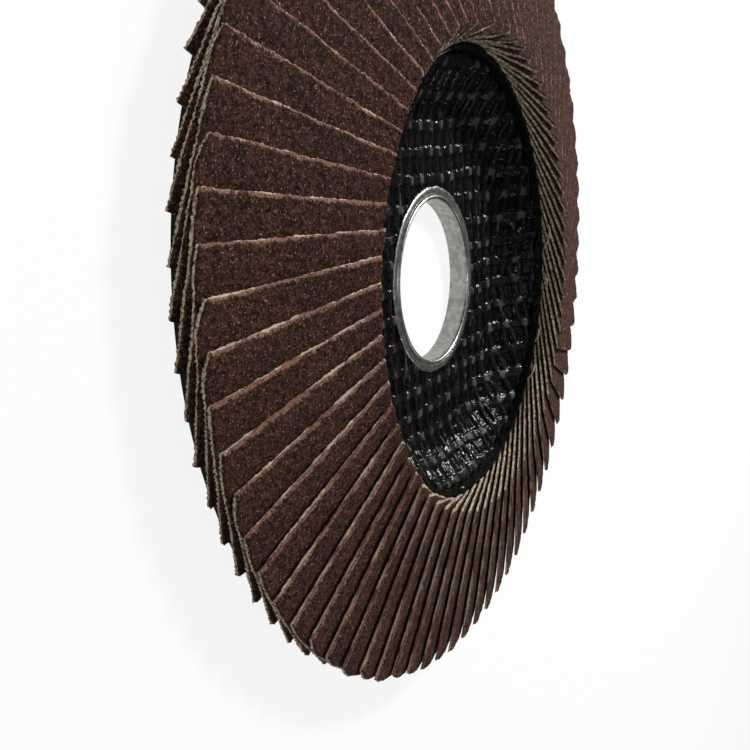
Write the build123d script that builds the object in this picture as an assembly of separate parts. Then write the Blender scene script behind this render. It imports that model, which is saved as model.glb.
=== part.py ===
from build123d import *
import os
from math import asin, atan2, ceil, cos, degrees, pi, radians, sin, sqrt, tan

# Flap disc for an angle grinder: abrasive cloth flaps shingled round a glass-fibre backing plate.
# Millimetres and degrees. Origin: centre of the bore at the hub's back face. +Z: out of the
# abrasive side. Flap 1 lies along +X, and the flaps are counted counter-clockwise seen from +Z.

# Arbor ring: a steel eyelet pressed into the hub
BORE_RADIUS = 11.115
SLEEVE_WALL = 0.65
FLANGE_WIDTH = 1.1
FLANGE_THICKNESS = 0.3
LIP_HEIGHT = 0.5
LIP_ROUND = 0.2
GROOVE_WIDTH = 0.16
GROOVE_DEPTH = 0.14
SEAT_CLEARANCE = 0.05
NOTCH_ANGLE = 68.0
NOTCH_WIDTH = 1.3
NOTCH_DEPTH = 0.75
NICK_COUNT = 3
NICK_START_ANGLE = 3.0
NICK_STEP_ANGLE = 5.5
NICK_WIDTH = 0.45
NICK_DEPTH = 0.35

# Backing plate: woven laminate with a sunk hub, a sloped step and a conical rim
HUB_THICKNESS = 2.6
RIM_THICKNESS = 1.8
RIM_BACK_HEIGHT = 0.45
CONE_ANGLE = 11.2
STEP_RUN = 6.0
CREST_MARGIN = 1.0

# Weave relief on the front of the hub and its step
WEAVE_ANGLE = 7.0
WARP_PITCH = 3.25
WARP_WIDTH = 1.9
WARP_HEIGHT = 0.25
WEFT_PITCH = 3.5
WEFT_WIDTH = 1.1
WEFT_HEIGHT = 0.15
WEAVE_SINK = 0.1
WEAVE_EDGE_GAP = 0.4

# Adhesive bed between the rim and the flaps
BED_THICKNESS = 1.2
BED_EDGE_GAP = 0.5
BOND_LINE = 0.15

# Abrasive flaps: flat at the hub end, and drooping towards the next flap at the rim
DISC_RADIUS = 57.5
FLAP_COUNT = 72
FLAP_LENGTH = 26.5
FLAP_WIDTH = 17.2
FLAP_THICKNESS = 0.5
FLAP_CLEARANCE = 0.07
FLAP_REST_GAP = 0.08
DROOP_REACH = 8.6
FLAP_LEAD = 0.5
FLAP_OVERHANG = 4.0
FLAPS_PER_NODE = 2

# Flap geometry worked out from the sizes above
PITCH_ANGLE = 360 / FLAP_COUNT
CONE = radians(CONE_ANGLE)


def shingle_tilt():
    """Tilt at which each flap just clears the one below it at their tightest corner."""
    stack = (FLAP_THICKNESS + FLAP_CLEARANCE) / radians(PITCH_ANGLE)
    tilt = 0.0
    for _ in range(20):
        reach = FLAP_WIDTH / 2 * cos(tilt)
        outer_x = sqrt(DISC_RADIUS**2 - (reach + FLAP_LEAD) ** 2)
        inner_x = outer_x - FLAP_LENGTH * cos(CONE) - FLAP_WIDTH * sin(tilt) * sin(CONE)
        tilt = asin((stack + (reach - FLAP_LEAD) * sin(CONE) * cos(tilt)) / inner_x)
    return tilt, outer_x, inner_x


TILT, FLAP_OUTER_X, FLAP_INNER_X = shingle_tilt()
FLAP_RISE = FLAP_WIDTH / 2 * sin(TILT)
FLAP_X = FLAP_OUTER_X - FLAP_LENGTH / 2 * cos(CONE) - FLAP_RISE * sin(CONE)
FLAP_SPREAD = radians(PITCH_ANGLE) * cos(CONE) * sin(TILT) * FLAP_LENGTH
CARRIED_DROOP = max(0, 1 - radians(PITCH_ANGLE) * DISC_RADIUS / DROOP_REACH) ** 2
FLAP_DROOP = (FLAP_CLEARANCE + FLAP_SPREAD - FLAP_REST_GAP) / (1 - CARRIED_DROOP)

# Plate and ring sizes that follow
PLATE_RADIUS = DISC_RADIUS - FLAP_OVERHANG
CREST_RADIUS = FLAP_INNER_X - CREST_MARGIN
STEP_FOOT_RADIUS = CREST_RADIUS - STEP_RUN
RIM_EDGE_HEIGHT = RIM_BACK_HEIGHT + RIM_THICKNESS / cos(CONE)
SLEEVE_RADIUS = BORE_RADIUS + SLEEVE_WALL
FLANGE_RADIUS = SLEEVE_RADIUS + FLANGE_WIDTH
WEAVE_INNER_RADIUS = FLANGE_RADIUS + WEAVE_EDGE_GAP
WEAVE_OUTER_RADIUS = CREST_RADIUS - WEAVE_EDGE_GAP


def rim_front(radius):
    """Height of the rim's conical front at a radius."""
    return RIM_EDGE_HEIGHT + (PLATE_RADIUS - radius) * tan(CONE)


CREST_HEIGHT = rim_front(CREST_RADIUS)
STEP_ANGLE = atan2(CREST_HEIGHT - HUB_THICKNESS, STEP_RUN)


def revolved(points):
    """Solid of revolution about Z from (radius, height) corners."""
    section = Plane.XZ * Polygon(*points, align=None)
    return revolve(section, Axis.Z)


def step_front(radius):
    """Height of the step's front face at a radius."""
    return HUB_THICKNESS + (radius - STEP_FOOT_RADIUS) * tan(STEP_ANGLE)


def plate_body():
    """The laminate: flat hub, sloped step and conical rim in one wall."""
    hole = SLEEVE_RADIUS + SEAT_CLEARANCE
    recess = FLANGE_RADIUS + SEAT_CLEARANCE
    drop = RIM_THICKNESS / cos(CONE)
    foot_shift = HUB_THICKNESS * tan(STEP_ANGLE / 2)
    crest_shift = RIM_THICKNESS * tan((STEP_ANGLE + CONE) / 2) * cos(CONE)
    back_crest = CREST_RADIUS + crest_shift
    return revolved(
        [
            (hole, FLANGE_THICKNESS),
            (hole, HUB_THICKNESS),
            (STEP_FOOT_RADIUS, HUB_THICKNESS),
            (CREST_RADIUS, CREST_HEIGHT),
            (PLATE_RADIUS, RIM_EDGE_HEIGHT),
            (PLATE_RADIUS, RIM_BACK_HEIGHT),
            (back_crest, rim_front(back_crest) - drop),
            (STEP_FOOT_RADIUS + foot_shift, 0),
            (recess, 0),
            (recess, FLANGE_THICKNESS),
        ]
    )


def warp_skin():
    """Thin layer that follows the hub and its step, from just under the surface to the warp's tops."""
    height = WARP_HEIGHT
    half_turn = tan(STEP_ANGLE / 2)
    outer = WEAVE_OUTER_RADIUS
    outer_z = step_front(outer)
    up = (height * sin(STEP_ANGLE), height * cos(STEP_ANGLE))
    down = (WEAVE_SINK * sin(STEP_ANGLE), WEAVE_SINK * cos(STEP_ANGLE))
    return revolved(
        [
            (WEAVE_INNER_RADIUS, HUB_THICKNESS - WEAVE_SINK),
            (WEAVE_INNER_RADIUS, HUB_THICKNESS + height),
            (STEP_FOOT_RADIUS - height * half_turn, HUB_THICKNESS + height),
            (outer - up[0], outer_z + up[1]),
            (outer + down[0], outer_z - down[1]),
            (STEP_FOOT_RADIUS + WEAVE_SINK * half_turn, HUB_THICKNESS - WEAVE_SINK),
        ]
    )


def weft_skin():
    """Thin layer on the flat hub, up to the weft's tops."""
    outer = STEP_FOOT_RADIUS - WEAVE_EDGE_GAP
    return revolved(
        [
            (WEAVE_INNER_RADIUS, HUB_THICKNESS - WEAVE_SINK),
            (WEAVE_INNER_RADIUS, HUB_THICKNESS + WEFT_HEIGHT),
            (outer, HUB_THICKNESS + WEFT_HEIGHT),
            (outer, HUB_THICKNESS - WEAVE_SINK),
        ]
    )


def strands(pitch, width, angle):
    """Upright strips side by side across the hub, turned about Z."""
    span = 2 * (WEAVE_OUTER_RADIUS + pitch)
    count = ceil(WEAVE_OUTER_RADIUS / pitch)
    strip = Pos(0, 0, CREST_HEIGHT / 2) * Box(span, width, 2 * CREST_HEIGHT)
    strips = [Rot(0, 0, angle) * Pos(0, i * pitch, 0) * strip for i in range(-count, count + 1)]
    return Compound(strips)


def backing_plate():
    """The laminate with its raised warp and weft strands."""
    warp = warp_skin() & strands(WARP_PITCH, WARP_WIDTH, WEAVE_ANGLE)
    weft = weft_skin() & strands(WEFT_PITCH, WEFT_WIDTH, WEAVE_ANGLE + 90)
    return plate_body() + warp + weft


def arbor_ring():
    """Steel eyelet with a rolled lip, a front flange on the weave and a back flange in a recess."""
    front = HUB_THICKNESS + FLANGE_THICKNESS
    lip_top = HUB_THICKNESS + LIP_HEIGHT
    groove_z = front - GROOVE_DEPTH
    ring = revolved(
        [
            (BORE_RADIUS, 0),
            (BORE_RADIUS, HUB_THICKNESS),
            (BORE_RADIUS + LIP_ROUND, lip_top),
            (SLEEVE_RADIUS - LIP_ROUND, lip_top),
            (SLEEVE_RADIUS, groove_z),
            (SLEEVE_RADIUS + GROOVE_WIDTH, front),
            (FLANGE_RADIUS, front),
            (FLANGE_RADIUS, HUB_THICKNESS),
            (SLEEVE_RADIUS, HUB_THICKNESS),
            (SLEEVE_RADIUS, FLANGE_THICKNESS),
            (FLANGE_RADIUS, FLANGE_THICKNESS),
            (FLANGE_RADIUS, 0),
        ]
    )
    ring -= flange_cut(NOTCH_ANGLE, NOTCH_WIDTH, NOTCH_DEPTH)
    for i in range(NICK_COUNT):
        ring -= flange_cut(NICK_START_ANGLE + i * NICK_STEP_ANGLE, NICK_WIDTH, NICK_DEPTH)
    return ring


def flange_cut(angle, width, depth):
    """Block that takes a bite out of the front flange's edge."""
    block = Box(2 * depth, width, HUB_THICKNESS)
    return Rot(0, 0, angle) * Pos(FLANGE_RADIUS, 0, 1.5 * HUB_THICKNESS) * block


def flap(angle):
    """One flap: free edge clockwise and raised, rear edge low in the adhesive."""
    half_drop = FLAP_RISE + FLAP_THICKNESS * cos(TILT)
    rear_x = FLAP_X - half_drop * sin(CONE)
    height = rim_front(rear_x) + BOND_LINE + half_drop * cos(CONE)
    seat = Pos(FLAP_X, -FLAP_LEAD, height) * Rot(0, CONE_ANGLE, 0) * Rot(-degrees(TILT), 0, 0)
    return Rot(0, 0, angle) * seat * flap_sheet()


def flap_sheet():
    """A flat-faceted sheet, straight at its inner end and drooping at its outer free corner."""
    bends = (0, DROOP_REACH / 2, DROOP_REACH, FLAP_WIDTH)
    droop = [FLAP_DROOP * max(0, 1 - bend / DROOP_REACH) ** 2 for bend in bends]
    inner = [Vector(-FLAP_LENGTH / 2, bend - FLAP_WIDTH / 2, 0) for bend in bends]
    outer = [Vector(FLAP_LENGTH / 2, y.Y, -fall) for y, fall in zip(inner, droop)]
    down = Vector(0, 0, -FLAP_THICKNESS)
    panels = []
    for k in range(2):
        panels += [(inner[k], outer[k], outer[k + 1]), (inner[k], outer[k + 1], inner[k + 1])]
    panels.append((inner[2], outer[2], outer[3], inner[3]))
    sides = panels + [tuple(corner + down for corner in panel) for panel in panels]
    for start, end in ((inner[0], outer[0]), (inner[3], outer[3])):
        sides.append((start, end, end + down, start + down))
    for row in (inner, outer):
        sides.append((*row, *[corner + down for corner in reversed(row)]))
    return Solid(Shell([Face(Wire.make_polygon(side, close=True)) for side in sides]))


def faceted_cone(lift):
    """Blunt cone above the rim's front, with one flat facet for each flap, touching it at mid-facet."""
    corner = 1 / cos(pi / FLAP_COUNT)
    foot = PLATE_RADIUS + 2 * BED_THICKNESS / tan(CONE)
    base = Pos(0, 0, rim_front(foot) + lift) * RegularPolygon(foot * corner, FLAP_COUNT)
    top = Pos(0, 0, CREST_HEIGHT + lift) * RegularPolygon(CREST_RADIUS * corner, FLAP_COUNT)
    return loft([base, top], ruled=True)


def adhesive_bed(flaps):
    """Cured adhesive ring on the rim, with a slot for each flap's rear edge."""
    rise = BED_THICKNESS / cos(CONE)
    layer = faceted_cone(rise) - faceted_cone(0)
    outline = RegularPolygon(PLATE_RADIUS - BED_EDGE_GAP, FLAP_COUNT)
    hollow = RegularPolygon(CREST_RADIUS + BED_EDGE_GAP, FLAP_COUNT)
    ring = layer & extrude(outline - hollow, CREST_HEIGHT + 2 * rise)
    return ring - flaps


def main():
    os.makedirs("parts", exist_ok=True)
    flaps = [flap(i * PITCH_ANGLE) for i in range(FLAP_COUNT)]
    export_step(backing_plate(), "parts/backing_plate.step")
    export_step(arbor_ring(), "parts/arbor_ring.step")
    export_step(adhesive_bed(flaps), "parts/adhesive_bed.step")
    for first in range(0, FLAP_COUNT, FLAPS_PER_NODE):
        group = Compound(flaps[first : first + FLAPS_PER_NODE])
        export_step(group, f"parts/flap_pair_{first // FLAPS_PER_NODE + 1:02d}.step")
    print("flap tilt", degrees(TILT), "droop", FLAP_DROOP, "crest height", CREST_HEIGHT)


main()
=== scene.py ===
from math import asin, atan2, cos, pi, radians, sin, sqrt, tan

import bpy
import numpy as np
from mathutils import Matrix, Vector


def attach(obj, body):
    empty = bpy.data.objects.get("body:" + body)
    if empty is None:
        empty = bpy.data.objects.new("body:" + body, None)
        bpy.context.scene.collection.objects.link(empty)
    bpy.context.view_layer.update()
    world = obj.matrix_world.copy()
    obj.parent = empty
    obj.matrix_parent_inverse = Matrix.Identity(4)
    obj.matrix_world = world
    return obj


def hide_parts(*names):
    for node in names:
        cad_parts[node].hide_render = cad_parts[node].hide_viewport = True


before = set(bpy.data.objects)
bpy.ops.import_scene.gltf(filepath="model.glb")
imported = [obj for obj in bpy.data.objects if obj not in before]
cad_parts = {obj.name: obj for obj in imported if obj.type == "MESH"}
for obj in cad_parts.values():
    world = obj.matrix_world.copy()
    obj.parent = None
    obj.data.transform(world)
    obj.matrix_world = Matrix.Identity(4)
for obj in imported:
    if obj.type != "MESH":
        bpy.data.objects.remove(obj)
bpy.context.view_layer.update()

# Lengths are in millimetres and are turned into metres when a mesh is made.
MM = 0.001

# Sizes shared with part.py
BORE_RADIUS = 11.115
SLEEVE_RADIUS = 11.765
FLANGE_RADIUS = 12.865
FLANGE_THICKNESS = 0.3
LIP_HEIGHT = 0.5
SEAT_CLEARANCE = 0.05
HUB_THICKNESS = 2.6
RIM_THICKNESS = 1.8
RIM_BACK_HEIGHT = 0.45
STEP_RUN = 6.0
CREST_MARGIN = 1.0
WEAVE_ANGLE = 7.0
WARP_PITCH = 3.25
WEFT_PITCH = 3.5
BOND_LINE = 0.15
DISC_RADIUS = 57.5
FLAP_COUNT = 72
FLAPS_PER_NODE = 2
FLAP_LENGTH = 26.5
FLAP_WIDTH = 17.2
FLAP_THICKNESS = 0.5
FLAP_CLEARANCE = 0.07
FLAP_REST_GAP = 0.08
DROOP_REACH = 8.6
FLAP_LEAD = 0.5
FLAP_OVERHANG = 4.0
CONE = radians(11.2)
PITCH = 2 * pi / FLAP_COUNT


def shingle_tilt():
    """Flap tilt and the radii of the flaps' two ends, as part.py works them out."""
    stack = (FLAP_THICKNESS + FLAP_CLEARANCE) / PITCH
    tilt = 0.0
    for _ in range(20):
        reach = FLAP_WIDTH / 2 * cos(tilt)
        outer_x = sqrt(DISC_RADIUS**2 - (reach + FLAP_LEAD) ** 2)
        inner_x = outer_x - FLAP_LENGTH * cos(CONE) - FLAP_WIDTH * sin(tilt) * sin(CONE)
        tilt = asin((stack + (reach - FLAP_LEAD) * sin(CONE) * cos(tilt)) / inner_x)
    return tilt, outer_x, inner_x


TILT, FLAP_OUTER_X, FLAP_INNER_X = shingle_tilt()
FLAP_RISE = FLAP_WIDTH / 2 * sin(TILT)
FLAP_X = FLAP_OUTER_X - FLAP_LENGTH / 2 * cos(CONE) - FLAP_RISE * sin(CONE)
FLAP_SPREAD = PITCH * cos(CONE) * sin(TILT) * FLAP_LENGTH
CARRIED_DROOP = max(0, 1 - PITCH * DISC_RADIUS / DROOP_REACH) ** 2
FLAP_DROOP = (FLAP_CLEARANCE + FLAP_SPREAD - FLAP_REST_GAP) / (1 - CARRIED_DROOP)
PLATE_RADIUS = DISC_RADIUS - FLAP_OVERHANG
CREST_RADIUS = FLAP_INNER_X - CREST_MARGIN
STEP_FOOT_RADIUS = CREST_RADIUS - STEP_RUN
RIM_EDGE_HEIGHT = RIM_BACK_HEIGHT + RIM_THICKNESS / cos(CONE)
CREST_HEIGHT = RIM_EDGE_HEIGHT + (PLATE_RADIUS - CREST_RADIUS) * tan(CONE)
STEP_SLOPE = (CREST_HEIGHT - HUB_THICKNESS) / STEP_RUN

# Camera: close, about 25 degrees above the disc, and rolled so that the disc's axis points right.
# The lens is in millimetres for a sensor 36 wide, and the shift is its vertical shift.
CAMERA_PLACE = Vector((-2.615, -124.123, 61.678)) * MM
CAMERA_AIM = Vector((28.447, -17.126, 2.6)) * MM
CAMERA_UP = Vector((-0.9692, 0.2134, -0.1231))
CAMERA_LENS = 45.01
CAMERA_SHIFT = 0.167


# ---------------------------------------------------------------- numeric helpers


def noise(u, v, seed):
    """Smooth noise from -1 to 1 with one lump for each unit."""
    size = 64
    grid = np.random.RandomState(seed).uniform(-1, 1, (size, size))
    iu = np.floor(u).astype(int)
    iv = np.floor(v).astype(int)
    fu = u - iu
    fv = v - iv
    fu = fu * fu * (3 - 2 * fu)
    fv = fv * fv * (3 - 2 * fv)
    low = grid[iu % size, iv % size] * (1 - fu) + grid[(iu + 1) % size, iv % size] * fu
    high = grid[iu % size, (iv + 1) % size] * (1 - fu) + grid[(iu + 1) % size, (iv + 1) % size] * fu
    return low * (1 - fv) + high * fv


def ramp(value, low, high):
    """Smooth step from 0 at low to 1 at high."""
    t = np.clip((value - low) / (high - low), 0, 1)
    return t * t * (3 - 2 * t)


# ---------------------------------------------------------------- mesh helpers


def add_mesh(name, points, faces, material, attributes=None):
    """New smooth object from points in millimetres, with optional numbers kept on its points."""
    mesh = bpy.data.meshes.new(name)
    mesh.from_pydata((np.asarray(points) * MM).tolist(), [], faces)
    mesh.polygons.foreach_set("use_smooth", [True] * len(mesh.polygons))
    for key, values in (attributes or {}).items():
        layer = mesh.attributes.new(key, "FLOAT", "POINT")
        layer.data.foreach_set("value", np.asarray(values, dtype=np.float32))
    mesh.materials.append(material)
    mesh.update()
    piece = bpy.data.objects.new(name, mesh)
    bpy.context.scene.collection.objects.link(piece)
    return piece


def ring_faces(rows, columns, closed_rows=False):
    """Quads of a grid whose columns run round a closed circle."""
    faces = []
    last = rows if closed_rows else rows - 1
    for i in range(last):
        a = i * columns
        b = (i + 1) % rows * columns
        for j in range(columns):
            k = (j + 1) % columns
            faces.append((a + j, a + k, b + k, b + j))
    return faces


# ---------------------------------------------------------------- material helpers


class Nodes:
    """Shorthand for building a material's node tree."""

    def __init__(self, name):
        self.material = bpy.data.materials.new(name)
        self.material.use_nodes = True
        self.tree = self.material.node_tree
        self.shader = self.tree.nodes["Principled BSDF"]
        place = self.tree.nodes.new("ShaderNodeTexCoord")
        self.place = place.outputs["Object"]

    def link(self, source, target):
        self.tree.links.new(source, target)

    def set(self, socket, value):
        if isinstance(value, bpy.types.NodeSocket):
            self.link(value, socket)
        else:
            socket.default_value = value

    def attribute(self, name):
        node = self.tree.nodes.new("ShaderNodeAttribute")
        node.attribute_name = name
        return node.outputs["Fac"]

    def noise(self, size, detail=2.0, rough=0.5):
        """Noise whose lumps are about size millimetres across."""
        node = self.tree.nodes.new("ShaderNodeTexNoise")
        self.link(self.place, node.inputs["Vector"])
        node.inputs["Scale"].default_value = 1 / (size * MM)
        node.inputs["Detail"].default_value = detail
        node.inputs["Roughness"].default_value = rough
        return node.outputs["Fac"]

    def cells(self, size):
        """One random colour for each cell, with cells about size millimetres across."""
        node = self.tree.nodes.new("ShaderNodeTexVoronoi")
        node.inputs["Scale"].default_value = 1 / (size * MM)
        self.link(self.place, node.inputs["Vector"])
        return node.outputs["Color"]

    def math(self, operation, first, second):
        node = self.tree.nodes.new("ShaderNodeMath")
        node.operation = operation
        self.set(node.inputs[0], first)
        self.set(node.inputs[1], second)
        return node.outputs[0]

    def frayed(self, name, fine, amount):
        """An attribute whose borders are broken up by fine noise."""
        spread = self.math("MULTIPLY", self.math("SUBTRACT", fine, 0.5), amount)
        return self.math("ADD", self.attribute(name), spread)

    def span(self, value, low, high, start=0.0, end=1.0):
        """Value from low to high turned smoothly into start to end."""
        node = self.tree.nodes.new("ShaderNodeMapRange")
        node.interpolation_type = "SMOOTHSTEP"
        self.set(node.inputs["Value"], value)
        node.inputs["From Min"].default_value = low
        node.inputs["From Max"].default_value = high
        node.inputs["To Min"].default_value = start
        node.inputs["To Max"].default_value = end
        return node.outputs["Result"]

    def mix(self, amount, first, second):
        """Mix of two colours."""
        node = self.tree.nodes.new("ShaderNodeMix")
        node.data_type = "RGBA"
        self.set(node.inputs[0], amount)
        self.set(node.inputs[6], first if isinstance(first, bpy.types.NodeSocket) else (*first, 1))
        self.set(node.inputs[7], second if isinstance(second, bpy.types.NodeSocket) else (*second, 1))
        return node.outputs[2]

    def bump(self, height, depth, strength=1.0):
        """Bump of a height from 0 to 1, depth millimetres deep."""
        node = self.tree.nodes.new("ShaderNodeBump")
        node.inputs["Strength"].default_value = strength
        node.inputs["Distance"].default_value = depth * MM
        self.link(height, node.inputs["Height"])
        self.link(node.outputs["Normal"], self.shader.inputs["Normal"])

    def finish(self, colour, roughness, **constants):
        self.set(self.shader.inputs["Base Color"], colour)
        self.set(self.shader.inputs["Roughness"], roughness)
        for key, value in constants.items():
            self.shader.inputs[key.replace("_", " ")].default_value = value
        return self.material


# ---------------------------------------------------------------- materials

GRAIN_DARK = (0.012, 0.0055, 0.0045)
GRAIN_BROWN = (0.054, 0.023, 0.015)
GRAIN_RED = (0.155, 0.059, 0.039)
DUST_PALE = (0.56, 0.43, 0.33)
DUST_BROWN = (0.22, 0.115, 0.08)
CLOTH_KHAKI = (0.54, 0.46, 0.33)
CLOTH_SHADE = (0.15, 0.11, 0.072)
RESIN_BLACK = (0.002, 0.002, 0.002)
STRAND_BLACK = (0.008, 0.009, 0.0085)
PAD_GREY = (0.05, 0.055, 0.05)
# The bed's near-black colour is partly the adhesive's own and partly painted shade where the flaps' inner
# ends meet the plate.
BED_DARK_AND_SHADE = (0.006, 0.0055, 0.005)
STEEL_DULL = (0.26, 0.26, 0.25)
STEEL_BRIGHT = (0.40, 0.40, 0.38)


def abrasive_material():
    """Brown grain on khaki cloth, with a pale crushed line along the free edge."""
    n = Nodes("abrasive_cloth_grain")
    grain = n.cells(0.32)
    body = n.mix(n.span(grain, 0.2, 0.8), GRAIN_DARK, GRAIN_BROWN)
    body = n.mix(n.span(n.noise(0.24, 1.0), 0.54, 0.66, 0.0, 0.6), body, GRAIN_RED)
    body = n.mix(n.span(n.noise(6.0, 2.0), 0.35, 0.7, 0.0, 0.35), body, GRAIN_DARK)
    body = n.mix(n.span(n.noise(0.5, 2.0, 0.6), 0.5, 0.64, 0.0, 0.4), body, GRAIN_RED)
    body = n.mix(n.span(n.noise(0.7, 2.0, 0.6), 0.5, 0.66, 0.0, 0.5), body, GRAIN_DARK)
    specks = n.span(n.noise(0.24, 1.0), 0.66, 0.74, 0.0, 0.35)
    body = n.mix(specks, body, DUST_PALE)
    fine = n.noise(0.3, 3.0, 0.7)
    dust = n.mix(n.span(n.frayed("pale", fine, 1.4), 0.35, 0.65), DUST_BROWN, DUST_PALE)
    body = n.mix(n.span(n.frayed("crushed", fine, 1.5), 0.3, 0.6), body, dust)
    cloth = n.mix(n.span(n.noise(0.35, 3.0, 0.7), 0.4, 0.58), CLOTH_SHADE, CLOTH_KHAKI)
    colour = n.mix(n.span(n.frayed("cloth", fine, 1.1), 0.4, 0.65), body, cloth)
    height = n.math("ADD", n.math("MULTIPLY", grain, 0.5), n.noise(0.18, 2.0))
    n.bump(height, 0.16, 1.0)
    return n.finish(colour, 0.85, Specular_IOR_Level=0.1)


def cloth_material():
    """Bare khaki thread."""
    n = Nodes("cloth_thread")
    body = n.mix(n.span(n.noise(0.3, 2.0), 0.35, 0.65), CLOTH_SHADE, CLOTH_KHAKI)
    return n.finish(body, 0.9, Specular_IOR_Level=0.1)


def weave_material():
    """Black resin-soaked glass weave, glossy on the strands and dull in the holes."""
    n = Nodes("laminate_weave")
    lift = n.attribute("lift")
    body = n.mix(n.span(lift, 0.25, 0.8), RESIN_BLACK, STRAND_BLACK)
    pads = n.math("MULTIPLY", n.span(lift, 0.82, 0.95), n.span(n.noise(3.0, 1.0), 0.4, 0.55))
    body = n.mix(pads, body, PAD_GREY)
    rough = n.span(n.noise(0.7, 2.0), 0.35, 0.65, 0.12, 0.28)
    rough = n.math("ADD", rough, n.math("MULTIPLY", pads, 0.3))
    rough = n.math("ADD", rough, n.span(lift, -0.9, -0.5, 0.5, 0.0))
    n.bump(n.noise(0.5, 1.0), 0.08, 1.0)
    return n.finish(body, rough, Specular_IOR_Level=0.08)


def bed_material():
    """Cured adhesive: lumpy and half glossy, near black partly for its own colour and partly as painted
    shade where the flaps' inner ends meet the plate.
    """
    n = Nodes("adhesive_resin_and_shade")
    # Near black all over: partly the adhesive's own colour, partly painted shade by the flaps' inner ends.
    body = n.mix(n.span(n.noise(0.9, 3.0), 0.4, 0.65), RESIN_BLACK, BED_DARK_AND_SHADE)
    rough = n.span(n.noise(1.1, 2.0), 0.35, 0.65, 0.25, 0.6)
    n.bump(n.noise(0.8, 3.0), 0.35, 0.9)
    return n.finish(body, rough, Specular_IOR_Level=0.15)


def steel_material():
    """Pressed steel, lightly scuffed."""
    n = Nodes("ring_steel_pressed")
    body = n.mix(n.span(n.noise(0.9, 3.0), 0.35, 0.7), STEEL_DULL, STEEL_BRIGHT)
    rough = n.span(n.noise(0.5, 3.0, 0.7), 0.3, 0.7, 0.28, 0.46)
    n.bump(n.noise(0.25, 3.0), 0.02, 0.6)
    return n.finish(body, rough, Metallic=1.0)


# ---------------------------------------------------------------- flaps

# Flap mesh: cells along a flap, rows back from its free edge, and layers through its thickness
FLAP_CELLS = 88
FLAP_ROWS = 57
FLAP_LAYERS = 5
TOP_ROWS = (*range(21), 24, 29, 36, 45, 57)
UNDER_ROWS = (0, 1, 3, 7, 15, 30, 57)

# Flap wear: EDGE is the free edge that shows, and ENDS are the inner and outer ends
FLAP_SEED = 500
NOISE_STEP = 37.3
EDGE_ROUND = 0.25
END_ROUND = 0.3
END_ROUND_DEPTH = 0.1
EDGE_WANDER = 0.16
EDGE_WANDER_REACH = 1.2
EDGE_SWELL = 0.12
EDGE_SWELL_REACH = 6
GRAIN_RELIEF = 0.12
END_RELIEF = 0.26
END_TUFT = 0.12
END_SINK = 0.15
END_REACH = 0.5
YARN_PITCH = 0.62
FLAP_STRAY = 0.3
CORNER_BITE = 1.0
CORNER_REACH = 3.2
CRUSHED_WIDTH = 0.45


def flap_topology():
    """Indices of the surface points of a box grid, and the faces between them."""
    nx, ny, nz = FLAP_CELLS, FLAP_ROWS, FLAP_LAYERS
    used = np.zeros((nx + 1, ny + 1, nz + 1), bool)
    used[:, TOP_ROWS, 0] = True
    used[:, 0, :] = True
    used[[0, nx], :, :] = True
    used[:, UNDER_ROWS, nz] = True
    index = -np.ones(used.shape, int)
    index[used] = np.arange(used.sum())
    faces = []
    for i in range(nx):
        for a, b in zip(TOP_ROWS, TOP_ROWS[1:]):
            faces.append((*side_row(index, i, a, b, 0, nx)[::-1], *side_row(index, i + 1, a, b, 0, nx)))
        for a, b in zip(UNDER_ROWS, UNDER_ROWS[1:]):
            faces.append((*side_row(index, i, a, b, nz, nx), *side_row(index, i + 1, a, b, nz, nx)[::-1]))
        for k in range(nz):
            faces.append((index[i, 0, k], index[i, 0, k + 1], index[i + 1, 0, k + 1], index[i + 1, 0, k]))
        near = index[i, ny, :] if i == 0 else index[i, ny, [0, nz]]
        far = index[i + 1, ny, :] if i == nx - 1 else index[i + 1, ny, [0, nz]]
        faces.append((*far, *near[::-1]))
    for j in range(ny):
        for k in range(nz):
            faces.append(tuple(index[0, [j, j + 1, j + 1, j], [k, k, k + 1, k + 1]]))
            faces.append(tuple(index[nx, [j, j, j + 1, j + 1], [k, k + 1, k + 1, k]]))
    return used, [tuple(int(v) for v in face) for face in faces]


def side_row(index, i, a, b, k, last):
    """Points between rows a and b of one grid line: all of them at the flap's ends."""
    rows = range(a, b + 1) if i in (0, last) else (a, b)
    return [index[i, j, k] for j in rows]


def flap_points(number, used):
    """Points of one flap in its own frame, and the notes that its material reads on them."""
    along = np.linspace(-FLAP_LENGTH / 2, FLAP_LENGTH / 2, FLAP_CELLS + 1)
    back = np.linspace(0, FLAP_WIDTH, FLAP_ROWS + 1)
    down = np.linspace(0, 1, FLAP_LAYERS + 1)
    x, b, d = (grid[used] for grid in np.meshgrid(along, back, down, indexing="ij"))
    luck = np.random.RandomState(FLAP_SEED + number)
    shift = NOISE_STEP * number
    share = (x + FLAP_LENGTH / 2) / FLAP_LENGTH
    end_gap = FLAP_LENGTH / 2 - np.abs(x)
    z = grain_relief(x, b, end_gap, shift, luck) * (1 - d) - FLAP_THICKNESS * d
    z = z - edge_swell(b, d, end_gap)
    z = z - FLAP_DROOP * share * np.clip(1 - b / DROOP_REACH, 0, 1) ** 2
    y = b + edge_wander(x, b, d, shift, luck)
    x = x - np.sign(x) * end_pull(b, d, end_gap, share, shift, luck) - luck.uniform(0, FLAP_STRAY)
    place = np.stack((x, y - FLAP_WIDTH / 2, z), axis=-1)
    return place, flap_notes(x, b, d, end_gap, shift)


def edge_swell(b, d, end_gap):
    """How much thicker the frayed cloth is at the free edge and, less, at the ends."""
    at_edge = 1 - ramp(b, 0, EDGE_SWELL_REACH)
    at_ends = 0.6 * (1 - ramp(end_gap, 0, 1))
    return EDGE_SWELL * d * np.maximum(at_edge, at_ends)


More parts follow.
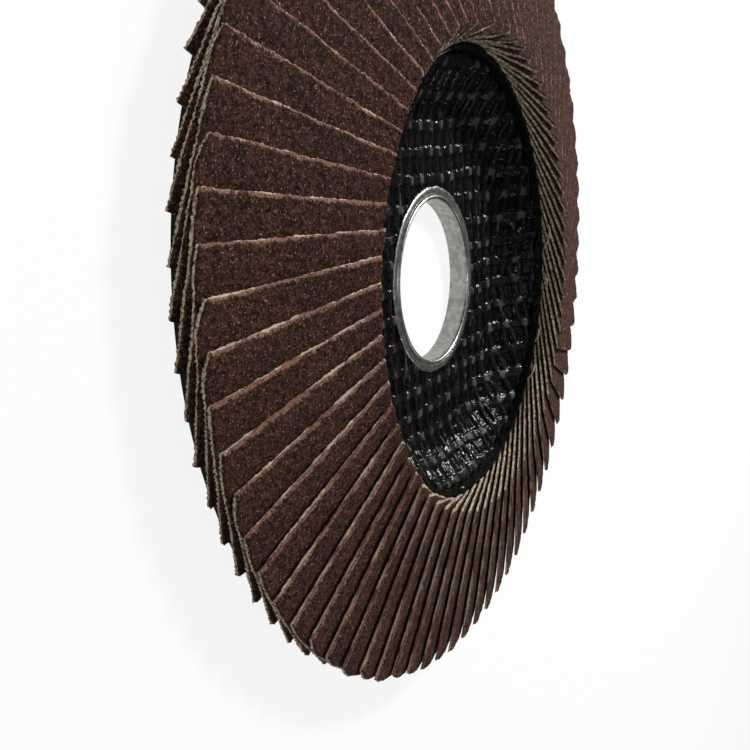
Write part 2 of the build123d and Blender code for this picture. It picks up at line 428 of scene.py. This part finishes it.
def edge_wander(x, b, d, shift, luck):
    """How far the free edge stands back: short waves, long waves and tufts."""
    waves = noise(x / 0.75 + shift, d * 2.2, 13) + 0.8 * noise(x / 3.1 + shift, d * 0.7, 14)
    tufts = luck.uniform(-0.5, 0.5, x.shape)
    return EDGE_WANDER * (0.6 * waves + 1.2 * tufts + 1.3) * (1 - ramp(b, 0, EDGE_WANDER_REACH))


def end_pull(b, d, end_gap, share, shift, luck):
    """How far the ends stand in: between bulging yarns, and where the corners are worn off."""
    yarn = np.abs(np.sin(pi * (b + 0.3 * noise(b / 2 + shift, b * 0, 16)) / YARN_PITCH))
    bulge = END_RELIEF * (0.2 + 0.8 * yarn * ramp(d, 0.24, 0.5))
    bulge = bulge + 0.07 * noise(b / 0.4, d * 3 + shift, 17) + 0.12 * noise(b / 2.5, d + shift, 18)
    bulge = bulge + END_TUFT * luck.uniform(-0.5, 0.5, b.shape)
    pull = (END_RELIEF + END_SINK - bulge) * (1 - ramp(end_gap, 0, END_REACH))
    bite = CORNER_BITE * np.clip(1 - b / CORNER_REACH, 0, 1) ** 1.4 * luck.uniform(0.4, 1.4)
    return pull + bite * (0.2 + 0.8 * share) * (1 - ramp(end_gap, 0, 3))


def flap_notes(x, b, d, end_gap, shift):
    """Where the grain is crushed along the free edge, how pale it is there, and where cloth is bare."""
    width = CRUSHED_WIDTH + 0.2 * noise(x / 2.1 + shift, d * 0, 19)
    width = width + 0.15 * noise(x / 0.8 + shift, d * 0, 20)
    crushed = (1 - ramp(b, 0.2 * width, 1.2 * width)) * (0.6 + 0.4 * ramp(d, 0.2, 0.8))
    bare_end = np.where(x < 0, ramp(d, 0.0, 0.2), ramp(d, 0.2, 0.4))
    cloth = np.where(end_gap < 0.01, bare_end, ramp(d, 0.7, 0.9) * ramp(b, 0, 1))
    patches = np.clip(0.75 + 0.9 * noise(x / 2.6 + shift, d * 0, 23), 0, 1.3)
    pale = (0.25 + 0.75 * ramp(d, 0.1, 0.7)) * (1 - ramp(b, 0.1, 0.7)) * patches
    return {"crushed": crushed, "cloth": cloth, "pale": pale}


def grain_relief(x, b, end_gap, shift, luck):
    """Height of a flap's grain over its cloth, rounded off at the free edge and the ends."""
    rounding = 1 - np.sqrt(1 - np.clip(1 - b / EDGE_ROUND, 0, 1) ** 2)
    corner = 1 - np.sqrt(1 - np.clip(1 - end_gap / END_ROUND, 0, 1) ** 2)
    relief = noise(x / 0.5 + shift, b / 0.5, 11) + 0.5 * noise(x / 1.7 + shift, b / 1.5, 12)
    relief = relief + 0.9 * luck.uniform(-1, 1, x.shape)
    return GRAIN_RELIEF * (relief / 2 - 1) - rounding * EDGE_ROUND * 0.5 - corner * END_ROUND_DEPTH


def flap_seat(number):
    """Turn and shift that seat a flap on the rim, as part.py does."""
    half_drop = FLAP_RISE + FLAP_THICKNESS * cos(TILT)
    rear_x = FLAP_X - half_drop * sin(CONE)
    rim = RIM_EDGE_HEIGHT + (PLATE_RADIUS - rear_x) * tan(CONE)
    height = rim + BOND_LINE + half_drop * cos(CONE)
    lean = Matrix.Rotation(CONE, 3, "Y") @ Matrix.Rotation(-TILT, 3, "X")
    turn = Matrix.Rotation(number * PITCH, 3, "Z")
    return np.array(turn @ lean), np.array(turn) @ np.array((FLAP_X, -FLAP_LEAD, height))


def add_flaps():
    """One piece for each pair of flaps, in place of the pair's plain solids."""
    material = abrasive_material()
    used, faces = flap_topology()
    count = int(used.sum())
    for pair in range(FLAP_COUNT // FLAPS_PER_NODE):
        points, notes, all_faces = [], [], []
        for k in range(FLAPS_PER_NODE):
            number = pair * FLAPS_PER_NODE + k
            local, marks = flap_points(number, used)
            turn, shift = flap_seat(number)
            points.append(local @ turn.T + shift)
            notes.append(marks)
            all_faces += [tuple(v + k * count for v in face) for face in faces]
        joined = {key: np.concatenate([marks[key] for marks in notes]) for key in notes[0]}
        name = f"flaps_{pair + 1:02d}"
        piece = add_mesh(name, np.concatenate(points), all_faces, material, joined)
        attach(piece, "root")
        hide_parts(f"flap_pair_{pair + 1:02d}")


# ---------------------------------------------------------------- loose threads

# Loose threads: angle in degrees, rise over the crest, length, and which way each leans
FRAYS = ((99, 1.2, 4.2, 1), (92, 1.4, 2.4, -1), (70, 1.0, 2.0, 1), (57, 1.1, 2.6, 1), (1, 0.6, 1.6, -1))
FRAY_RADIUS = 0.17
FRAY_RINGS = 14
FRAY_SIDES = 6


def fray(angle, rise, length, lean):
    """Rings of points round one loose thread that curls up out of the flaps' inner ends."""
    t = np.linspace(0, 1, FRAY_RINGS)
    out = np.array((cos(angle), sin(angle), 0))
    side = np.array((-sin(angle), cos(angle), 0)) * lean
    up = np.array((0, 0, 1))
    root = out * (FLAP_INNER_X - 0.1) + up * (CREST_HEIGHT + rise)
    bend = np.outer(t, side * length) - np.outer(np.sin(pi * t / 2), out) * 0.5
    path = root + bend + np.outer(np.sin(2.2 * t), up) * 0.3 * length
    turn = np.linspace(0, 2 * pi, FRAY_SIDES, endpoint=False)
    girth = FRAY_RADIUS * (1 - 0.6 * t**4)
    rings = path[:, None] + girth[:, None, None] * (
        np.cos(turn)[None, :, None] * out + np.sin(turn)[None, :, None] * up
    )
    return rings.reshape(-1, 3)


def add_frays():
    """A few threads of the cloth pulled loose where the flaps meet the hub."""
    points, faces = [], []
    for k, (angle, rise, length, lean) in enumerate(FRAYS):
        start = k * FRAY_RINGS * FRAY_SIDES
        points.append(fray(radians(angle), rise, length, lean))
        faces += [tuple(v + start for v in face) for face in ring_faces(FRAY_RINGS, FRAY_SIDES)]
        faces.append(tuple(range(start + FRAY_SIDES - 1, start - 1, -1)))
        faces.append(tuple(range(start + (FRAY_RINGS - 1) * FRAY_SIDES, start + FRAY_RINGS * FRAY_SIDES)))
    piece = add_mesh("loose_threads", np.concatenate(points), faces, cloth_material())
    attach(piece, "root")


# ---------------------------------------------------------------- backing plate

PLATE_SEGMENTS = 720
BEND_SOFTNESS = 0.55
CREST_DIP = 0.18
CREST_DIP_REACH = 0.8
WEAVE_START = 12.2
WEAVE_END = 30.6
WEAVE_ROW_STEP = 0.19
WEAVE_RELIEF = 0.42
WEAVE_SINK = 0.15


def plate_front(radius):
    """Height of the plate's front, with a soft bend where the hub turns up into the step."""
    rise = (radius - STEP_FOOT_RADIUS) * STEP_SLOPE
    step = HUB_THICKNESS + BEND_SOFTNESS * np.logaddexp(0, rise / BEND_SOFTNESS)
    rim = RIM_EDGE_HEIGHT + (PLATE_RADIUS - radius) * tan(CONE)
    return np.minimum(step, rim) - CREST_DIP * np.exp(-(((radius - CREST_RADIUS) / CREST_DIP_REACH) ** 2))


def strand(distance, width):
    """Round-topped strand from 0 outside its width to 1 along its middle."""
    return np.sqrt(np.clip(1 - (distance / (width / 2)) ** 2, 0, 1))


def weave_height(x, y):
    """Height of the open weave above the resin, from 0 in the holes to about 1 on the pads."""
    turn = radians(WEAVE_ANGLE)
    p = x * cos(turn) + y * sin(turn) + 0.35 * noise(x / 9, y / 9, 31)
    q = y * cos(turn) - x * sin(turn) + 0.35 * noise(x / 8, y / 8, 32)
    column = np.round(q / WARP_PITCH)
    across = q - column * WARP_PITCH
    row = np.round(p / WEFT_PITCH)
    along = p - row * WEFT_PITCH
    lean = 0.42 * np.sin(pi * p / WEFT_PITCH + pi * column)
    warp = np.maximum(strand(across - lean - 0.35, 1.0), strand(across + lean + 0.35, 1.0))
    warp = warp * (0.75 + 0.2 * noise(p / 1.3, column * 3.3, 33))
    drift = 0.35 * noise(row * 2.7, q / 5, 34)
    weft = np.clip(strand(along - drift, 1.3 + 0.3 * noise(q / 2, row * 1.9, 35)) * 1.5, 0, 1)
    over = 0.5 + 0.5 * np.cos(2 * pi * across / WARP_PITCH)
    weft = weft * (0.45 + 0.6 * over)
    height = np.maximum(warp, weft)
    fibre = 0.10 * noise(p / 2.2, q / 0.28, 36) + 0.08 * noise(p / 0.5, q / 0.5, 37)
    resin = 0.35 * ramp(noise(p / 1.9, q / 1.6, 38), 0.25, 0.8)
    return np.clip(np.maximum(height, resin) + fibre, 0, 1.15)


def front_rows():
    """Front of the plate's section, from the hole out, as (radius, height, share of the weave)."""
    hole = SLEEVE_RADIUS + SEAT_CLEARANCE
    rows = [(hole, FLANGE_THICKNESS, 0), (hole, HUB_THICKNESS - 0.15, 0)]
    for radius in np.arange(WEAVE_START, WEAVE_END, WEAVE_ROW_STEP):
        rows.append((radius, float(plate_front(radius)), 1))
    for radius in np.linspace(32, PLATE_RADIUS, 8):
        rows.append((radius, float(plate_front(radius)), 0))
    return rows


def back_rows():
    """Back of the plate's section, from the rim in, in the same form."""
    recess = FLANGE_RADIUS + SEAT_CLEARANCE
    crest_shift = RIM_THICKNESS * tan((atan2(STEP_SLOPE, 1) + CONE) / 2) * cos(CONE)
    back_crest = CREST_RADIUS + crest_shift
    back_top = RIM_EDGE_HEIGHT + (PLATE_RADIUS - back_crest) * tan(CONE) - RIM_THICKNESS / cos(CONE)
    back_foot = STEP_FOOT_RADIUS + HUB_THICKNESS * tan(atan2(STEP_SLOPE, 1) / 2)
    rows = [(PLATE_RADIUS, RIM_BACK_HEIGHT, 0)]
    for share in np.linspace(0.1, 1, 10):
        radius = PLATE_RADIUS + (back_crest - PLATE_RADIUS) * share
        rows.append((radius, RIM_BACK_HEIGHT + (back_top - RIM_BACK_HEIGHT) * share, 0))
    for share in (0.25, 0.5, 0.75, 1):
        radius = back_crest + (back_foot - back_crest) * share
        rows.append((radius, back_top * (1 - share), 0))
    for radius in (21, 18, 15, recess):
        rows.append((radius, 0, 0))
    rows.append((recess, FLANGE_THICKNESS, 0))
    return rows


def add_plate():
    """The laminate as one closed skin, with real strands on the front of the hub and its step."""
    rows = np.array(front_rows() + back_rows())
    turn = np.linspace(0, 2 * pi, PLATE_SEGMENTS, endpoint=False)
    radius = np.repeat(rows[:, 0:1], PLATE_SEGMENTS, axis=1)
    height = np.repeat(rows[:, 1:2], PLATE_SEGMENTS, axis=1)
    woven = np.repeat(rows[:, 2:3], PLATE_SEGMENTS, axis=1)
    x = radius * np.cos(turn)
    y = radius * np.sin(turn)
    lift = weave_height(x, y)
    fade = ramp(radius, 12.0, 13.2) * (1 - ramp(radius, WEAVE_END - 0.6, WEAVE_END))
    raised = woven * fade * (WEAVE_RELIEF * lift - WEAVE_SINK)
    sloped = ramp(radius, STEP_FOOT_RADIUS - 1, STEP_FOOT_RADIUS + 1)
    lean = sloped * sin(atan2(STEP_SLOPE, 1))
    upright = np.sqrt(1 - lean**2)
    radius = radius - raised * lean
    points = np.stack((radius * np.cos(turn), radius * np.sin(turn), height + raised * upright), axis=-1)
    faces = ring_faces(len(rows), PLATE_SEGMENTS, True)
    lift = np.where(woven > 0, lift, -1)
    piece = add_mesh("plate_weave", points.reshape(-1, 3), faces, weave_material(), {"lift": lift.ravel()})
    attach(piece, "root")
    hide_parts("backing_plate")


# ---------------------------------------------------------------- arbor ring

RING_SEGMENTS = 360
LIP_ROLL = 0.45
NOTCH_ANGLE = 68.0
NICK_ANGLES = (3.0, 8.5, 14.0)


def ring_section():
    """Section of the eyelet as (radius, height, share of the outer edge's raggedness)."""
    front = HUB_THICKNESS + FLANGE_THICKNESS
    lip = HUB_THICKNESS + LIP_HEIGHT
    section = [(BORE_RADIUS, 0.0, 0), (BORE_RADIUS, 1.0, 0), (BORE_RADIUS, HUB_THICKNESS - 0.2, 0)]
    middle = (BORE_RADIUS + SLEEVE_RADIUS) / 2
    half = (SLEEVE_RADIUS - BORE_RADIUS) / 2
    for degrees in np.linspace(170, 20, 9):
        angle = radians(degrees)
        section.append((middle + half * cos(angle), lip - LIP_ROLL + LIP_ROLL * sin(angle), 0))
    section += [
        (SLEEVE_RADIUS + 0.02, front - 0.14, 0),
        (SLEEVE_RADIUS + 0.10, front - 0.13, 0),
        (SLEEVE_RADIUS + 0.18, front - 0.01, 0),
        (SLEEVE_RADIUS + 0.6, front, 0),
        (FLANGE_RADIUS - 0.12, front - 0.01, 1),
        (FLANGE_RADIUS, front - 0.1, 1),
        (FLANGE_RADIUS, HUB_THICKNESS, 1),
        (SLEEVE_RADIUS + 0.04, HUB_THICKNESS, 0),
        (SLEEVE_RADIUS, HUB_THICKNESS - 0.04, 0),
        (SLEEVE_RADIUS, FLANGE_THICKNESS, 0),
        (FLANGE_RADIUS, FLANGE_THICKNESS, 0),
        (FLANGE_RADIUS, 0.06, 0),
        (FLANGE_RADIUS - 0.06, 0.0, 0),
        (BORE_RADIUS + 0.06, 0.0, 0),
    ]
    return np.array(section)


def ragged_edge(turn):
    """How far the front flange's edge falls short, round the ring."""
    short = 0.08 + 0.07 * noise(turn * 16, turn * 0, 41) + 0.05 * noise(turn * 45, turn * 0 + 5, 42)
    for angle, width, depth in [(NOTCH_ANGLE, 1.3, 0.75)] + [(a, 0.45, 0.35) for a in NICK_ANGLES]:
        away = np.abs((turn - radians(angle) + pi) % (2 * pi) - pi) * FLANGE_RADIUS
        short = np.maximum(short, depth * (1 - ramp(away, width / 2 - 0.15, width / 2 + 0.1)))
    return short


def add_ring():
    """The steel eyelet, with a rolled lip and a torn flange edge."""
    section = ring_section()
    turn = np.linspace(0, 2 * pi, RING_SEGMENTS, endpoint=False)
    radius = section[:, 0:1] - section[:, 2:3] * ragged_edge(turn)
    height = np.repeat(section[:, 1:2], RING_SEGMENTS, axis=1)
    points = np.stack((radius * np.cos(turn), radius * np.sin(turn), height), axis=-1)
    faces = ring_faces(len(section), RING_SEGMENTS, True)
    piece = add_mesh("eyelet", points.reshape(-1, 3), [f[::-1] for f in faces], steel_material())
    piece.data.set_sharp_from_angle(angle=radians(40))
    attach(piece, "root")
    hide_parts("arbor_ring")


def dress_bed():
    """The adhesive keeps its CAD shape and gets a near-black resin finish, which is partly painted shade
    where the flaps' inner ends meet the plate.
    """
    resin = bed_material()
    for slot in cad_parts["adhesive_bed"].material_slots:
        slot.material = resin


# ---------------------------------------------------------------- stage


# The floor's half width in metres, and how much of it looks plain white
FLOOR_HALF = 4.0
FLOOR_WHITE = 0.88

# Lamps: name, place in metres, size in metres and power in watts
LAMPS = (
    ("key", (-0.51, 0.43, 0.51), 0.14, 9.5),
    ("near", (0, -0.73, 0.33), 0.14, 1.5),
    ("low", (0.54, 0.3, 0.5), 0.14, 0.5),
    ("over", (0, 0, 0.8), 0.3, 0.5),
)
LAMP_AIM = Vector((0, 0, 0))
WORLD_STRENGTH = 0.1


def add_camera():
    """The photograph's camera, worked out from the disc's bore, flange and flap corners."""
    data = bpy.data.cameras.new("camera")
    data.lens = CAMERA_LENS
    data.sensor_width = 36
    data.shift_y = CAMERA_SHIFT
    data.clip_start = 0.01
    data.clip_end = 20
    ahead = (CAMERA_AIM - CAMERA_PLACE).normalized()
    right = ahead.cross(CAMERA_UP).normalized()
    up = right.cross(ahead)
    camera = bpy.data.objects.new("camera", data)
    turn = Matrix((right, up, -ahead)).transposed().to_4x4()
    camera.matrix_world = Matrix.Translation(CAMERA_PLACE) @ turn
    bpy.context.scene.collection.objects.link(camera)
    bpy.context.scene.camera = camera


def seen_directly(tree):
    """1 where the camera sees a surface directly, in gloss or through glass, and 0 in its light."""
    path = tree.nodes.new("ShaderNodeLightPath")
    seen = path.outputs["Is Camera Ray"]
    for ray in ("Is Glossy Ray", "Is Transmission Ray"):
        either = tree.nodes.new("ShaderNodeMath")
        either.operation = "MAXIMUM"
        tree.links.new(seen, either.inputs[0])
        tree.links.new(path.outputs[ray], either.inputs[1])
        seen = either.outputs[0]
    return seen


def floor_material():
    """White floor that looks mostly plain white but still shows shadows."""
    material = bpy.data.materials.new("floor_white")
    material.use_nodes = True
    tree = material.node_tree
    tree.nodes.clear()
    matt = tree.nodes.new("ShaderNodeBsdfDiffuse")
    matt.inputs["Color"].default_value = (0.8, 0.8, 0.8, 1)
    white = tree.nodes.new("ShaderNodeEmission")
    white.inputs["Color"].default_value = (1, 1, 1, 1)
    share = tree.nodes.new("ShaderNodeMath")
    share.operation = "MULTIPLY"
    share.inputs[1].default_value = FLOOR_WHITE
    tree.links.new(seen_directly(tree), share.inputs[0])
    mix = tree.nodes.new("ShaderNodeMixShader")
    tree.links.new(share.outputs[0], mix.inputs[0])
    tree.links.new(matt.outputs[0], mix.inputs[1])
    tree.links.new(white.outputs[0], mix.inputs[2])
    surface = tree.nodes.new("ShaderNodeOutputMaterial").inputs["Surface"]
    tree.links.new(mix.outputs[0], surface)
    return material


def add_floor():
    """White floor under the disc."""
    mesh = bpy.data.meshes.new("floor")
    corners = [(x * FLOOR_HALF, y * FLOOR_HALF, 0) for x, y in ((-1, -1), (1, -1), (1, 1), (-1, 1))]
    mesh.from_pydata(corners, [], [(0, 1, 2, 3)])
    mesh.materials.append(floor_material())
    floor = bpy.data.objects.new("floor", mesh)
    bpy.context.scene.collection.objects.link(floor)


def add_area(name, place, size, power):
    """One square lamp, pointed at the disc's centre."""
    data = bpy.data.lights.new(name, "AREA")
    data.size = size
    data.energy = power
    lamp = bpy.data.objects.new(name, data)
    lamp.location = place
    lamp.rotation_euler = (LAMP_AIM - Vector(place)).to_track_quat("-Z", "Y").to_euler()
    bpy.context.scene.collection.objects.link(lamp)


def add_light():
    """The four lamps and a faint white surround."""
    for name, place, size, power in LAMPS:
        add_area(name, place, size, power)
    world = bpy.data.worlds.new("studio")
    world.use_nodes = True
    background = world.node_tree.nodes["Background"]
    background.inputs["Color"].default_value = (1, 1, 1, 1)
    background.inputs["Strength"].default_value = WORLD_STRENGTH
    bpy.context.scene.world = world


add_plate()
add_ring()
dress_bed()
add_flaps()
add_frays()
add_floor()
add_light()
add_camera()
bpy.context.scene.view_settings.view_transform = "Standard"
